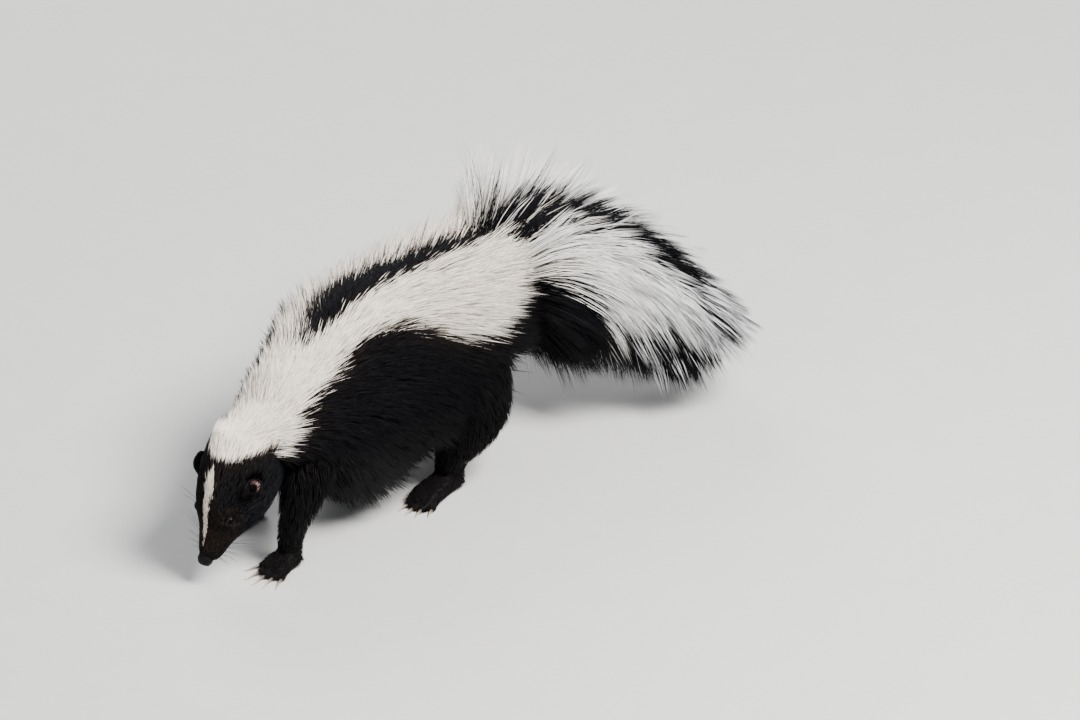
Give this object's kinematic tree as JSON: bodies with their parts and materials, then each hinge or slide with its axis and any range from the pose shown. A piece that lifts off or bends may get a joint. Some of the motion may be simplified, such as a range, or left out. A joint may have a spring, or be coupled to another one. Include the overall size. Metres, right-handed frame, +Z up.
{
  "type": "striped skunk figure",
  "caption": "Life-size still figure of a striped skunk walking with its nose to the ground, white stripes on black fur and a long plumed tail.",
  "frame": {"origin": "middle of the floor under the whole animal, level with its soles", "axes": "+Z up; the animal faces -X and its tail points to +X; its left side is -Y"},
  "size_m": [0.4532, 0.1858, 0.1924],
  "materials": {
    "black_fur": "deep black fur with brown and blue-grey glints",
    "white_fur": "cream-white guard hair",
    "nose_skin": "moist, finely pebbled dark skin",
    "ear_skin": "dull pink bare skin inside a furred cup",
    "eye_gloss": "wet gloss",
    "claw_horn": "translucent grey-brown horn"
  },
  "bodies": {
    "root": {"claw_fore_left_1": "claw_horn", "claw_fore_left_2": "claw_horn", "claw_fore_left_3": "claw_horn", "claw_fore_left_4": "claw_horn", "claw_fore_left_5": "claw_horn", "claw_fore_right_1": "claw_horn", "claw_fore_right_2": "claw_horn", "claw_fore_right_3": "claw_horn", "claw_fore_right_4": "claw_horn", "claw_fore_right_5": "claw_horn", "claw_hind_left_1": "claw_horn", "claw_hind_left_2": "claw_horn", "claw_hind_left_3": "claw_horn", "claw_hind_left_4": "claw_horn", "claw_hind_left_5": "claw_horn", "claw_hind_right_1": "claw_horn", "claw_hind_right_2": "claw_horn", "claw_hind_right_3": "claw_horn", "claw_hind_right_4": "claw_horn", "claw_hind_right_5": "claw_horn", "ear_left": "ear_skin", "ear_right": "ear_skin", "eye_left": "eye_gloss", "eye_right": "eye_gloss", "head": "black_fur", "leg_fore_left": "black_fur", "leg_fore_right": "black_fur", "leg_hind_left": "black_fur", "leg_hind_right": "black_fur", "neck": "white_fur", "nose": "nose_skin", "paw_fore_left": "black_fur", "paw_fore_right": "black_fur", "paw_hind_left": "black_fur", "paw_hind_right": "black_fur", "tail": "white_fur", "torso": "black_fur"}
  },
  "joints": []
}
